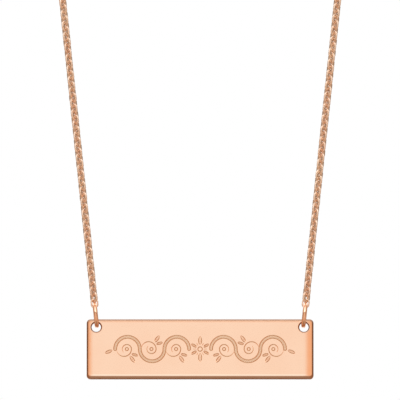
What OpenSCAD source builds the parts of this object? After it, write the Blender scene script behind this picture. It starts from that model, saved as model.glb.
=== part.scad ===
// Nameplate necklace, hanging: an engraved bar between two runs of fine cable chain, closed by a spring ring.
// X runs along the bar, -Y is its front and Z is up. The origin is the lowest point of the clasp, where the
// back of the necklace lies on the nape or on a peg.

/* [Nameplate] */
// Width of the plate
plate_w = 35; // [28:0.5:50]
// Height of the plate
plate_h = 9.3; // [7.5:0.1:14]
// Thickness of the plate
plate_t = 0.9; // [0.6:0.05:1.2]
// Radius of the plate's four corners, seen from the front
corner_r = 0.6; // [0.25:0.05:1]
// Rounding of the polished edges
edge_r = 0.2; // [0.1:0.05:0.25]
// Diameter of the two holes
hole_d = 1.44; // [1.36:0.02:2]
// Width of the slope round each hole, on the front and the back
hole_rim = 0.2; // [0.1:0.01:0.25]
// Distance from each side of the plate to the middle of its hole
hole_inset = 1.48; // [1.3:0.02:2.5]
// Metal left between the plate's top and each hole
hole_bridge = 0.5; // [0.4:0.01:0.7]

/* [Engraved scroll] */
// Radius of the stem's half circles
scroll_r = 1.9; // [1.5:0.05:2.1]
// Distance between the two lines of the stem
stem_gap = 0.44; // [0.3:0.02:0.6]
// Width of an engraved line at the surface
groove_w = 0.16; // [0.1:0.01:0.2]
// Depth of an engraved line
groove_depth = 0.08; // [0.05:0.01:0.12]
// Half width of the flower in the middle
flower_r = 1.7; // [1.5:0.05:2.1]
// Length of a leaf
leaf_l = 1.25; // [1:0.05:1.4]
// Bare metal between the scroll and each hole
scroll_margin = 0.3; // [0.2:0.1:2]

/* [Rings] */
// Outside diameter of a jump ring
ring_od = 4; // [3.6:0.1:4.5]
// Wire of a jump ring
ring_wire = 0.66; // [0.5:0.02:0.7]
// Play between wires that hang in each other
play = 0.04; // [0.02:0.01:0.06]
// Play between the plate and the rings that it swings on
swing_play = 0.12; // [0.1:0.01:0.16]

/* [Chain] */
// Length round the whole necklace, the bar included
necklace_l = 457.2; // [400:1.2:610]
// Angle of each run of chain to the vertical beside the bar
chain_lean = 6; // [3:0.5:12]
// Diameter over the links of the chain
chain_d = 0.95; // [0.8:0.05:1.1]
// Wire of a chain link
link_wire = 0.24; // [0.24:0.02:0.36]

/* [Clasp] */
// Outside diameter of the spring ring
clasp_od = 5.5; // [5:0.1:7]
// Thickness of the spring ring's tube
clasp_tube = 1.1; // [0.9:0.05:1.3]
// Outside diameter of the clasp's eye
eye_od = 2.3; // [2.1:0.1:3]
// Wire of the clasp's eye
eye_wire = 0.5; // [0.4:0.05:0.6]
// Height of the thumb knob on the spring ring
knob_h = 0.7; // [0.5:0.05:1]
// Diameter of the thumb knob
knob_d = 0.7; // [0.5:0.05:0.9]

/* [Hidden] */
rose = [0.93, 0.68, 0.55];
radian = 180 / PI;
// How far a cutting tool reaches past the surface
cut = 0.02;

// A ring's mean and inner radius, and where its middle sits above the top of the hole that it hangs the plate by
ring_r = (ring_od - ring_wire) / 2;
ring_ri = ring_od / 2 - ring_wire;
ring_reach = ring_ri - swing_play;
ring_above_hole = min(
    sqrt(pow(ring_reach, 2) - pow(plate_t / 2 - hole_rim, 2)),
    hole_rim + sqrt(pow(ring_reach, 2) - pow(plate_t / 2, 2))
);

// The end link of a run: it holds a ring's wire on one side and the next link on the other. Its plane is turned
// from the ring's by this angle, and it is wide enough for the wire to pass through it at a slant.
end_link_turn = 90;
end_link_w = link_wire + (ring_wire + link_wire + 2 * play) / sin(end_link_turn);
end_link_l = ring_wire + 3 * link_wire + 4 * play;

// Where the plain stretch of a run starts, in the far bow of its end link, from the middle of the ring
end_link_from_ring = ring_ri - play - link_wire;
chain_from_ring = end_link_from_ring + end_link_l - link_wire / 2;

// The row of the clasp: the middles of its eye and of the two rings beside it
clasp_z = clasp_od / 2;
eye_x = -(clasp_od + eye_od) / 2 + eye_wire;
clasp_ring_x = eye_x - eye_od / 2 + eye_wire + play - ring_ri;
catch_ring_x = clasp_od / 2 - clasp_tube - play + ring_ri;
flat_x = max(-clasp_ring_x, catch_ring_x) + chain_from_ring;

// The loop: a level stretch at the clasp, an arc, and a straight run down to the plate's ring
hole_x = plate_w / 2 - hole_inset;
plate_ring_x = hole_x + ring_r * sin(chain_lean) / 2;
arc_angle = 90 + chain_lean;
run_and_arc = necklace_l / 2 - hole_x - ring_r - flat_x;
arc_r = (plate_ring_x - flat_x + run_and_arc * sin(chain_lean))
    / (cos(chain_lean) + arc_angle / radian * sin(chain_lean));
run_l = run_and_arc - arc_r * arc_angle / radian;
plate_ring_z = clasp_z - arc_r * (1 + sin(chain_lean)) - run_l * cos(chain_lean);
plate_top_z = plate_ring_z - ring_above_hole + hole_bridge;
plate_z = plate_top_z - plate_h / 2;

// Sections along the arc and the straight of one run of chain, and the sides of its tube
arc_steps = 26;
run_steps = 12;
chain_sides = 8;

// One run's stations, from the clasp to the plate, each [x, z, angle of its outward normal]
function run_stations(start_x) = concat(
    start_x < flat_x - 0.01 ? [[start_x, clasp_z, 90]] : [],
    [for (i = [0 : arc_steps]) let (a = 90 - i * arc_angle / arc_steps)
        [flat_x + arc_r * cos(a), clasp_z - arc_r + arc_r * sin(a), a]],
    [for (i = [1 : run_steps]) let (d = run_l - (run_l - chain_from_ring) * i / run_steps)
        [plate_ring_x + d * sin(chain_lean), plate_ring_z + d * cos(chain_lean), -chain_lean]]
);

// The corners of an even-sided section at each station
function tube_points(stations, d, sides) = [
    for (s = stations, k = [0 : sides - 1]) let (a = (k + 0.5) * 360 / sides, out = d / 2 * cos(a))
        [s[0] + out * cos(s[2]), d / 2 * sin(a), s[1] + out * sin(s[2])]
];

function tube_faces(count, sides) = concat(
    [[for (k = [0 : sides - 1]) k]],
    [for (i = [0 : count - 2], k = [0 : sides - 1]) let (n = (k + 1) % sides)
        [i * sides + k, (i + 1) * sides + k, (i + 1) * sides + n, i * sides + n]],
    [[for (k = [sides - 1 : -1 : 0]) (count - 1) * sides + k]]
);

// A round ring of round wire, flat in XY
module wire_ring(od, wire) {
    rotate_extrude($fn = 64) translate([(od - wire) / 2, 0]) circle(d = wire, $fn = 24);
}

// A long link, flat in XY, its length along X
module link(l, w, wire) {
    straight = l - w;
    for (s = [-1, 1]) {
        translate([s * straight / 2, 0, 0]) rotate([0, 0, -s * 90])
            rotate_extrude(angle = 180, $fn = 48) translate([(w - wire) / 2, 0]) circle(d = wire, $fn = 24);
        translate([-straight / 2, s * (w - wire) / 2, 0]) rotate([0, 90, 0])
            cylinder(d = wire, h = straight, $fn = 24);
    }
}

// A bar's outline with rounded corners, extruded along Z and centred on it
module rounded_slab(w, h, t, r) {
    linear_extrude(t, center = true) {
        square([w - 2 * r, h], center = true);
        square([w, h - 2 * r], center = true);
        for (sx = [-1, 1], sy = [-1, 1])
            translate([sx * (w / 2 - r), sy * (h / 2 - r)]) circle(r, $fn = 32);
    }
}

// The plate's bar, its middle at the origin: three slabs keep their common part, so every edge is rounded
module plate_bar() {
    intersection() {
        rotate([90, 0, 0]) rounded_slab(plate_w, plate_h, plate_t, corner_r);
        rounded_slab(plate_w, plate_t, plate_h, edge_r);
        rotate([0, 90, 0]) rounded_slab(plate_h, plate_t, plate_w, edge_r);
    }
}

// An engraved line along an arc: a sharp V round the Z axis, its mouth at z = 0, from angle a over sweep
module arc_groove(r, a, sweep) {
    spread = groove_w / 2 * (1 + cut / groove_depth);
    rotate([0, 0, a]) rotate_extrude(angle = sweep, $fn = 64)
        polygon([[r, -groove_depth], [r + spread, cut], [r - spread, cut]]);
}

// Shapes of the scroll, as shares of the sizes that they follow: a curl, its tip and its bud are shares of the
// stem's inner radius, and the flower's parts are shares of its half width
curl_share = 0.68;
tip_share = 0.42;
bud_share = 0.14;
petal_share = 0.6;
tall_petal_share = 0.85;
flower_eye_share = 0.2;
leaf_bend = 34;
tip_start = -40;
end_leaf_droop = 22;

// Where lines would meet they stop this many groove widths short, on the vine and at the ends of a leaf
vine_gap = 0.75;
leaf_gap = 1;
stalk_gap = 1.5;

// The leaves on a curl, each [place round the curl, direction, share of a leaf's length]
curl_leaves = [[213, 196, 0.85], [229, 234, 1.05]];

// The angle that keeps the end of a line of radius r this many groove widths short of a meeting point
function short_by(r, widths) = groove_w * widths / r * radian;

// An engraved half circle from angle a, its ends just short of what they would meet
module half_groove(r, a) {
    gap = short_by(r, vine_gap);
    arc_groove(r, a + gap, 180 - 2 * gap);
}

// An engraved leaf, its stalk end at the origin, pointing along +X
module leaf(l) {
    r = l / 2 / sin(leaf_bend);
    gap = short_by(r, leaf_gap);
    for (s = [-1, 1]) translate([l / 2, -s * r * cos(leaf_bend), 0])
        arc_groove(r, s * 90 - leaf_bend + gap, 2 * (leaf_bend - gap));
}

// One turn of the vine, its middle at the origin: the stem passes over it and a curl with two leaves fills it
module vine_turn() {
    inner = scroll_r - stem_gap / 2;
    curl_r = inner * curl_share;
    tip_r = inner * tip_share;
    branch = acos(1 - groove_w / curl_r);
    for (r = [inner, scroll_r + stem_gap / 2]) half_groove(r, 0);
    translate([inner - curl_r, 0, 0]) {
        arc_groove(curl_r, 180 + short_by(curl_r, vine_gap), 180 - branch - short_by(curl_r, vine_gap));
        for (l = curl_leaves) rotate([0, 0, l[0]]) translate([curl_r + stalk_gap * groove_w, 0, 0])
            rotate([0, 0, l[1] - l[0]]) leaf(leaf_l * l[2]);
    }
    translate([inner - 2 * curl_r + tip_r, 0, 0]) {
        arc_groove(tip_r, tip_start, 180 - tip_start - short_by(tip_r, vine_gap));
        arc_groove(inner * bud_share, 0, 360);
    }
}

// The flower between the two vines: six petals round a small eye
module flower() {
    eye_r = flower_r * flower_eye_share;
    arc_groove(eye_r, 0, 360);
    for (a = [30 : 60 : 330]) rotate([0, 0, a]) translate([eye_r + stalk_gap * groove_w, 0, 0])
        leaf(flower_r * (a % 180 == 90 ? tall_petal_share : petal_share));
}

// Mirrors its children across the plane with this normal, or leaves them as they are
module mirror_if(flipped, normal) {
    if (flipped) mirror(normal) children();
    else children();
}

// The whole engraving, its mouth in the XY plane: a vine on each side of the flower, as long as the bar allows
module scroll() {
    room = hole_x - hole_d / 2 - hole_rim - scroll_margin - flower_r - stem_gap / 2 - leaf_l;
    turns = floor(room / (2 * scroll_r));
    vine_end = flower_r + 2 * scroll_r * turns;
    last_down = turns % 2 == 1;
    flower();
    for (left = [false, true]) mirror_if(left, [1, 0, 0]) {
        translate([flower_r, 0, 0]) half_groove(stem_gap / 2, 180);
        for (i = [0 : turns - 1]) translate([flower_r + scroll_r * (2 * i + 1), 0, 0])
            mirror_if(i % 2 == 1, [0, 1, 0]) vine_turn();
        translate([vine_end, 0, 0]) {
            half_groove(stem_gap / 2, last_down ? 180 : 0);
            rotate([0, 0, last_down ? -end_leaf_droop : end_leaf_droop])
                translate([stem_gap / 2 + stalk_gap * groove_w, 0, 0]) leaf(leaf_l);
        }
    }
}

// The tool for a hole through the plate, its rim sloping at both faces
module hole_tool() {
    half = [
        [0, plate_t / 2 + cut],
        [hole_d / 2 + hole_rim + cut, plate_t / 2 + cut],
        [hole_d / 2, plate_t / 2 - hole_rim]
    ];
    other = [for (i = [2 : -1 : 0]) [half[i][0], -half[i][1]]];
    rotate_extrude($fn = 48) polygon(concat(half, other));
}

module nameplate() {
    color(rose) translate([0, 0, plate_z]) difference() {
        plate_bar();
        for (s = [-1, 1])
            translate([s * hole_x, 0, plate_h / 2 - hole_bridge - hole_d / 2]) rotate([90, 0, 0]) hole_tool();
        translate([0, -plate_t / 2, 0]) rotate([90, 0, 0]) scroll();
    }
}

// A jump ring in the plate, in line with its chain; side is -1 on the left and 1 on the right
module plate_ring(side) {
    translate([side * plate_ring_x, 0, plate_ring_z]) rotate([0, side * chain_lean, 0]) rotate([0, 90, 0])
        wire_ring(ring_od, ring_wire);
}

module jump_ring_left() { color(rose) plate_ring(-1); }

module jump_ring_right() { color(rose) plate_ring(1); }

// The end link that hangs in a ring whose middle is at the origin, the chain leaving along +X, the ring in XY;
// turn is the angle of the link's plane to the ring's
module end_link(turn) {
    translate([end_link_from_ring + end_link_l / 2, 0, 0]) rotate([turn, 0, 0])
        link(end_link_l, end_link_w, link_wire);
}

// The right-hand run of chain, from a ring in the clasp's row to the plate's ring
module chain_run(row_ring_x) {
    stations = run_stations(row_ring_x + chain_from_ring);
    polyhedron(tube_points(stations, chain_d, chain_sides), tube_faces(len(stations), chain_sides));
    translate([row_ring_x, 0, clasp_z]) end_link(-end_link_turn);
    translate([plate_ring_x, 0, plate_ring_z]) rotate([0, chain_lean - 90, 0]) end_link(end_link_turn);
}

module chain_left() { color(rose) mirror([1, 0, 0]) chain_run(-clasp_ring_x); }

module chain_right() { color(rose) chain_run(catch_ring_x); }

// The spring ring and its soldered eye, with the thumb knob of its bolt
module clasp() {
    color(rose) translate([0, 0, clasp_z]) {
        rotate([90, 0, 0]) wire_ring(clasp_od, clasp_tube);
        translate([eye_x, 0, 0]) rotate([90, 0, 0]) wire_ring(eye_od, eye_wire);
        rotate([0, 45, 0]) translate([0, 0, (clasp_od - clasp_tube) / 2])
            cylinder(d = knob_d, h = clasp_tube / 2 + knob_h, $fn = 32);
    }
}

module clasp_ring() { color(rose) translate([clasp_ring_x, 0, clasp_z]) wire_ring(ring_od, ring_wire); }

module catch_ring() { color(rose) translate([catch_ring_x, 0, clasp_z]) wire_ring(ring_od, ring_wire); }

nameplate();
jump_ring_left();
jump_ring_right();
chain_left();
chain_right();
clasp();
clasp_ring();
catch_ring();
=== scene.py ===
"""Looks of a hanging nameplate necklace: an engraved rose gold bar, its rings, the cable chain and the clasp.

The classes hold their sizes in millimetres, in the part's own frame: X runs along the bar, -Y is its front
and Z is up. Every mesh is written in metres.
"""

import cmath
import logging
import math
from collections.abc import Callable, Iterable, Sequence
from dataclasses import dataclass, field
from enum import Enum
from functools import partial

import bpy
from mathutils import Matrix, Vector
from mathutils.geometry import delaunay_2d_cdt

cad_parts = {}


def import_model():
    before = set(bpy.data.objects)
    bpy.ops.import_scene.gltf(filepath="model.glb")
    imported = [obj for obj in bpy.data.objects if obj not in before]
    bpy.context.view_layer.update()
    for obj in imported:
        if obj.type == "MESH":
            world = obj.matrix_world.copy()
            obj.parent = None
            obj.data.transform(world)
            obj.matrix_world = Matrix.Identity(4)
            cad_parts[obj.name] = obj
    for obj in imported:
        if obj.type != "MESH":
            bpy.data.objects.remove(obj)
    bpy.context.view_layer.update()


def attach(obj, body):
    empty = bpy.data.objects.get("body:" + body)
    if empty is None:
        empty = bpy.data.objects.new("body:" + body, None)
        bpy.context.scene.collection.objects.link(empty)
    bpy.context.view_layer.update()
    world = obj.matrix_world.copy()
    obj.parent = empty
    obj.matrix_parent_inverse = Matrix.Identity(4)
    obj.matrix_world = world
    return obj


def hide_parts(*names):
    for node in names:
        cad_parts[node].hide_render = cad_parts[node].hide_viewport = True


LOG = logging.getLogger("necklace")
MM = 0.001
MERGE = 1e-4
THINNEST = 1e-6
Point = tuple[float, float, float]
Face = tuple[int, ...]
Colour = tuple[float, float, float]


class Slot(Enum):
    """The record's material slots."""

    POLISHED = "polished_rose_gold"
    WIRE = "rose_gold_wire"
    CHAIN = "rose_gold_chain"


class Body(Enum):
    """The bodies that the pieces ride on."""

    CHAIN = "chain_and_clasp"
    BAR = "bar"


class Side(Enum):
    """The two runs of chain, seen from the front."""

    LEFT = -1
    RIGHT = 1


@dataclass(frozen=True)
class Loop:
    """The sizes of the necklace and the line that it hangs along, as the part's source has them.

    Attributes:
        plate_w: Width of the bar.
        plate_h: Height of the bar.
        plate_t: Thickness of the bar.
        corner_r: Radius of its corners, seen from the front.
        edge_r: Depth of its rounded edges.
        hole_d: Diameter of its holes.
        hole_rim: Width of the sloping rim round a hole.
        hole_inset: Distance of a hole's middle from the end of the bar.
        hole_bridge: Metal left above a hole.
        ring_od: Outside diameter of the small rings.
        ring_wire: Diameter of their wire.
        play: Gap between two pieces that hang in each other.
        swing_play: Gap between a hole and the ring that the bar swings on.
        necklace_l: Length of the whole necklace.
        chain_lean: Lean of a run of chain beside the bar, in degrees.
        link_wire: Diameter of an end link's wire.
        end_turn: Turn of an end link across its ring, in degrees.
        clasp_od: Outside diameter of the clasp's ring.
        clasp_tube: Diameter of its tube.
        eye_od: Outside diameter of the clasp's eye.
        eye_wire: Diameter of the eye's wire.
    """

    plate_w: float = 35.0
    plate_h: float = 9.3
    plate_t: float = 0.9
    corner_r: float = 0.6
    edge_r: float = 0.2
    hole_d: float = 1.44
    hole_rim: float = 0.2
    hole_inset: float = 1.48
    hole_bridge: float = 0.5
    ring_od: float = 4.0
    ring_wire: float = 0.66
    play: float = 0.04
    swing_play: float = 0.12
    necklace_l: float = 457.2
    chain_lean: float = 6.0
    link_wire: float = 0.24
    end_turn: float = 90.0
    clasp_od: float = 5.5
    clasp_tube: float = 1.1
    eye_od: float = 2.3
    eye_wire: float = 0.5

    @property
    def lean(self) -> float:
        """Angle of a run of chain to the vertical beside the bar, in radians."""
        return math.radians(self.chain_lean)

    @property
    def ring_r(self) -> float:
        """Mean radius of a jump ring."""
        return (self.ring_od - self.ring_wire) / 2

    @property
    def ring_ri(self) -> float:
        """Inner radius of a jump ring."""
        return self.ring_od / 2 - self.ring_wire

    @property
    def end_l(self) -> float:
        """Length of a run's end link, outside."""
        return self.ring_wire + 3 * self.link_wire + 4 * self.play

    @property
    def end_w(self) -> float:
        """Width of an end link, outside: its slanted opening lets the ring's wire pass."""
        slanted = self.ring_wire + self.link_wire + 2 * self.play
        return self.link_wire + slanted / math.sin(math.radians(self.end_turn))

    @property
    def end_start(self) -> float:
        """Distance from a ring's middle to the near end of its end link."""
        return self.ring_ri - self.play - self.link_wire

    @property
    def from_ring(self) -> float:
        """Distance from a ring's middle to the middle of the wire at the end link's far end."""
        return self.end_start + self.end_l - self.link_wire / 2

    @property
    def row_z(self) -> float:
        """Height of the clasp's row, the middles of its ring and of the two small rings."""
        return self.clasp_od / 2

    @property
    def eye_x(self) -> float:
        """Place of the middle of the clasp's eye."""
        return -(self.clasp_od + self.eye_od) / 2 + self.eye_wire

    @property
    def clasp_ring_x(self) -> float:
        """Place of the ring between the clasp's eye and the left run."""
        return self.eye_x - self.eye_od / 2 + self.eye_wire + self.play - self.ring_ri

    @property
    def catch_ring_x(self) -> float:
        """Place of the ring that the clasp closes on."""
        return self.clasp_od / 2 - self.clasp_tube - self.play + self.ring_ri

    @property
    def flat_x(self) -> float:
        """Where the level stretch beside the clasp turns into the arc."""
        return max(-self.clasp_ring_x, self.catch_ring_x) + self.from_ring

    @property
    def hole_x(self) -> float:
        """Distance of the holes from the middle of the bar."""
        return self.plate_w / 2 - self.hole_inset

    @property
    def plate_ring_x(self) -> float:
        """Distance of the bar's rings from the middle."""
        return self.hole_x + self.ring_r * math.sin(self.lean) / 2

    @property
    def arc_angle(self) -> float:
        """Angle that the arc turns through, in radians."""
        return math.pi / 2 + self.lean

    @property
    def arc_r(self) -> float:
        """Radius of the arc at the back of the neck."""
        along = self.necklace_l / 2 - self.hole_x - self.ring_r - self.flat_x
        reach = self.plate_ring_x - self.flat_x + along * math.sin(self.lean)
        return reach / (math.cos(self.lean) + self.arc_angle * math.sin(self.lean))

    @property
    def run_l(self) -> float:
        """Length of the straight stretch, to the middle of the bar's ring."""
        along = self.necklace_l / 2 - self.hole_x - self.ring_r - self.flat_x
        return along - self.arc_r * self.arc_angle

    @property
    def plate_ring_z(self) -> float:
        """Height of the middles of the bar's rings."""
        drop = self.arc_r * (1 + math.sin(self.lean)) + self.run_l * math.cos(self.lean)
        return self.row_z - drop

    @property
    def plate_z(self) -> float:
        """Height of the middle of the bar."""
        reach = self.ring_ri - self.swing_play
        inner = math.sqrt(reach**2 - (self.plate_t / 2 - self.hole_rim) ** 2)
        outer = self.hole_rim + math.sqrt(reach**2 - (self.plate_t / 2) ** 2)
        return self.plate_ring_z - min(inner, outer) + self.hole_bridge - self.plate_h / 2

    @property
    def hole_z(self) -> float:
        """Height of the holes' middles above the middle of the bar."""
        return self.plate_h / 2 - self.hole_bridge - self.hole_d / 2

    @property
    def rim_r(self) -> float:
        """Radius of a hole's rim on the bar's faces."""
        return self.hole_d / 2 + self.hole_rim

    def run_start(self, side: Side) -> float:
        """Distance of a run's ring at the clasp from the middle."""
        return -self.clasp_ring_x if side is Side.LEFT else self.catch_ring_x

    def run_total(self, side: Side) -> float:
        """Length of a run between the middles of its two rings."""
        return self.flat_x - self.run_start(side) + self.arc_r * self.arc_angle + self.run_l

    def along_run(self, side: Side, distance: float) -> tuple[float, float]:
        """Walks a run of chain from the middle of its ring at the clasp.

        Args:
            side: The run.
            distance: Length walked along the run.

        Returns:
            The x and z of the place.
        """
        start = self.run_start(side)
        level, arc = self.flat_x - start, self.arc_r * self.arc_angle
        if distance < level:
            x, z = start + distance, self.row_z
        elif distance < level + arc:
            turn = math.pi / 2 - (distance - level) / self.arc_r
            x = self.flat_x + self.arc_r * math.cos(turn)
            z = self.row_z - self.arc_r + self.arc_r * math.sin(turn)
        else:
            left = self.run_l - (distance - level - arc)
            x = self.plate_ring_x + left * math.sin(self.lean)
            z = self.plate_ring_z + left * math.cos(self.lean)
        return side.value * x, z


class NodeBoard:
    """A node tree under construction, with short calls that make and join its nodes."""

    def __init__(self, tree: bpy.types.NodeTree) -> None:
        """Takes the tree to build in."""
        self.tree = tree

    def add(
        self, kind: str, inputs: dict[str | int, object] | None = None, **settings: object
    ) -> bpy.types.Node:
        """Makes a node.

        Args:
            kind: The node's type, such as ShaderNodeMath.
            inputs: What its sockets take, by name or number: output sockets or plain values.
            **settings: Properties of the node and their values.

        Returns:
            The new node.
        """
        node = self.tree.nodes.new(kind)
        for name, value in settings.items():
            setattr(node, name, value)
        for name, value in (inputs or {}).items():
            if isinstance(value, bpy.types.NodeSocket):
                self.tree.links.new(value, node.inputs[name])
            else:
                node.inputs[name].default_value = value
        return node

    def math(self, operation: str, *values: object, clamp: bool = False) -> bpy.types.NodeSocket:
        """Makes a Math node.

        Args:
            operation: What it works out.
            *values: Its inputs in order, sockets or numbers.
            clamp: Whether its result is held between 0 and 1.

        Returns:
            Its output.
        """
        inputs = dict(enumerate(values))
        return self.add("ShaderNodeMath", inputs, operation=operation, use_clamp=clamp).outputs[0]

    def scaled(self, vector: object, factor: object) -> bpy.types.NodeSocket:
        """Makes a Vector Math node that scales.

        Args:
            vector: What is scaled.
            factor: By how much, a socket or a number.

        Returns:
            Its output.
        """
        return self.add("ShaderNodeVectorMath", {0: vector, "Scale": factor}, operation="SCALE").outputs[0]

    def smooth(self, value: object, low: float, high: float) -> bpy.types.NodeSocket:
        """Makes a soft step.

        Args:
            value: The socket that is read.
            low: Where the step starts, at 0.
            high: Where it ends, at 1.

        Returns:
            Its output.
        """
        inputs = {"Value": value, "From Min": low, "From Max": high}
        node = self.add("ShaderNodeMapRange", inputs, interpolation_type="SMOOTHSTEP", clamp=True)
        return node.outputs["Result"]

    def mix(self, factor: object, first: object, second: object) -> bpy.types.NodeSocket:
        """Makes a colour mix.

        Args:
            factor: Share of the second colour.
            first: The first colour, a socket or four numbers.
            second: The second colour.

        Returns:
            Its output.
        """
        return self.add("ShaderNodeMix", {0: factor, 6: first, 7: second}, data_type="RGBA").outputs[2]

    def noise(
        self, place: object, scale: float, detail: float = 2.0, roughness: float = 0.5
    ) -> bpy.types.NodeSocket:
        """Makes a Noise texture.

        Args:
            place: Where it is read.
            scale: Its scale.
            detail: Its octaves.
            roughness: How strong the finer ones are.

        Returns:
            Its value.
        """
        inputs = {"Vector": place, "Scale": scale, "Detail": detail, "Roughness": roughness}
        return self.add("ShaderNodeTexNoise", inputs, noise_dimensions="3D").outputs["Fac"]

    def ramp(self, value: object, stops: Sequence[tuple[float, Colour]]) -> bpy.types.NodeSocket:
        """Makes a colour ramp.

        Args:
            value: The socket that is read.
            stops: Places and colours.

        Returns:
            Its colour.
        """
        node = self.add("ShaderNodeValToRGB", {0: value})
        band = node.color_ramp
        band.interpolation = "LINEAR"
        while len(band.elements) > 1:
            band.elements.remove(band.elements[-1])
        for i, (place, colour) in enumerate(sorted(stops)):
            stop = band.elements[0] if i == 0 else band.elements.new(place)
            stop.position = place
            stop.color = (*colour, 1.0)
        return node.outputs[0]


@dataclass(frozen=True)
class Scratches:
    """One family of fine scratches that lie the same way.

    Attributes:
        turn: Their direction, in radians.
        stretch: How many times longer than wide they are.
        scale: How close together they lie.
    """

    turn: float
    stretch: float
    scale: float


@dataclass(frozen=True)
class PolishMarks:
    """The marks of polishing and wear that every finish shares, as one shader node group.

    Attributes:
        name: The group's name.
        families: The scratches.
        pit_height: Share of the pits in the group's height.
        scratch_depth: Share of the scratches in it.
    """

    name: str = "polish_marks"
    families: tuple[Scratches, ...] = (
        Scratches(0.35, 22.0, 1.3),
        Scratches(-0.62, 17.0, 1.7),
        Scratches(1.2, 26.0, 1.1),
    )
    pit_height: float = 0.02
    scratch_depth: float = 0.06

    def build(self) -> bpy.types.ShaderNodeTree:
        """Builds the group.

        Returns:
            The group, with the inputs Grain, Scratches and Waviness and the outputs Height, Haze and Tone.
        """
        tree = bpy.data.node_groups.new(self.name, "ShaderNodeTree")
        for name, value in (("Grain", 1.0), ("Scratches", 0.5), ("Waviness", 0.5)):
            socket = tree.interface.new_socket(name, in_out="INPUT", socket_type="NodeSocketFloat")
            socket.default_value = value
        for name in ("Height", "Haze", "Tone"):
            tree.interface.new_socket(name, in_out="OUTPUT", socket_type="NodeSocketFloat")
        board = NodeBoard(tree)
        given = board.add("NodeGroupInput").outputs
        place = board.scaled(board.add("ShaderNodeTexCoord").outputs["Object"], 1 / MM)
        grain = board.scaled(place, given["Grain"])

        scratches = self.scratched(board, grain)
        where = board.smooth(board.noise(grain, 0.45, 2.0), 0.46, 0.62)
        scratches = board.math("MULTIPLY", board.math("MULTIPLY", scratches, where), given["Scratches"])

        height = board.math("MULTIPLY", board.noise(place, 0.42, 1.0), given["Waviness"])
        pits = board.math("MULTIPLY", board.noise(grain, 7.0, 3.0, 0.6), self.pit_height)
        height = board.math("ADD", height, pits)
        height = board.math("SUBTRACT", height, board.math("MULTIPLY", scratches, self.scratch_depth))

        smear = board.smooth(board.noise(grain, 0.8, 4.0, 0.62), 0.35, 0.75)
        haze = board.math("MULTIPLY", smear, 0.6)
        haze = board.math("ADD", haze, board.math("MULTIPLY", scratches, 0.5), clamp=True)
        tone = board.smooth(board.noise(place, 0.19, 3.0, 0.55), 0.3, 0.72)
        board.add("NodeGroupOutput", {"Height": height, "Haze": haze, "Tone": tone})
        return tree

    def scratched(self, board: NodeBoard, grain: bpy.types.NodeSocket) -> bpy.types.NodeSocket:
        """Draws every family of scratches.

        Args:
            board: The group under construction.
            grain: Where the scratches are read.

        Returns:
            1 on a scratch and 0 off it.
        """
        lines = []
        for family in self.families:
            inputs = {"Rotation": (0.0, family.turn, 0.0), "Vector": grain}
            turned = board.add("ShaderNodeMapping", inputs, vector_type="POINT").outputs[0]
            shape = {0: turned, 1: (1.0, family.stretch, family.stretch)}
            narrow = board.add("ShaderNodeVectorMath", shape, operation="MULTIPLY").outputs[0]
            lines.append(board.smooth(board.noise(narrow, family.scale, 1.0), 0.66, 0.74))
        together = lines[0]
        for line in lines[1:]:
            together = board.math("MAXIMUM", together, line)
        return together


@dataclass(frozen=True)
class Mark:
    """A colour and roughness that an attribute of the mesh lays over another finish: a finish of its own, or
    painted shade.

    Attributes:
        attribute: The attribute, 1 where this finish covers the other.
        colour: Its colour.
        roughness: Its roughness.
    """

    attribute: str
    colour: Colour
    roughness: float


@dataclass(frozen=True)
class RoseGold:
    """A finish of the rose gold, from mirror polish to the satin floor of an engraved line.

    Attributes:
        name: The material's name.
        base: Its colour.
        deep: The colour that it drifts to over the surface.
        roughness: Its roughness where it is clean.
        haze: How much rougher it is where it is worn.
        grain: How fine the marks of polishing are.
        scratches: How strong the scratches are.
        waviness: How strong the slow waves of its surface are.
        bump: Strength of the marks' relief.
        bump_height: Depth of the marks.
        marks: Finishes, and painted shade, laid over it.
    """

    name: str
    base: Colour
    deep: Colour
    roughness: float
    haze: float
    grain: float = 1.0
    scratches: float = 0.5
    waviness: float = 0.5
    bump: float = 0.3
    bump_height: float = 0.004
    marks: tuple[Mark, ...] = ()

    def material(self, polish: bpy.types.ShaderNodeTree) -> bpy.types.Material:
        """Builds the material.

        Args:
            polish: The shared group of polishing marks.

        Returns:
            The material.
        """
        made = bpy.data.materials.new(self.name)
        made.use_nodes = True
        made.node_tree.nodes.clear()
        board = NodeBoard(made.node_tree)
        wear = {"Grain": self.grain, "Scratches": self.scratches, "Waviness": self.waviness}
        seen = board.add("ShaderNodeGroup", wear, node_tree=polish).outputs
        colour = board.mix(seen["Tone"], (*self.base, 1.0), (*self.deep, 1.0))
        rough = board.math("ADD", board.math("MULTIPLY", seen["Haze"], self.haze), self.roughness)
        for mark in self.marks:
            share = board.add("ShaderNodeAttribute", attribute_name=mark.attribute).outputs["Fac"]
            colour = board.mix(share, colour, (*mark.colour, 1.0))
            extra = board.math("MULTIPLY", share, mark.roughness - self.roughness)
            rough = board.math("ADD", rough, extra, clamp=True)
        relief = {"Strength": self.bump, "Distance": self.bump_height * MM, "Height": seen["Height"]}
        bump = board.add("ShaderNodeBump", relief).outputs[0]
        surface = {"Base Color": colour, "Roughness": rough, "Metallic": 1.0, "Normal": bump}
        shader = board.add("ShaderNodeBsdfPrincipled", surface).outputs[0]
        board.add("ShaderNodeOutputMaterial", {"Surface": shader})
        return made


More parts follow.
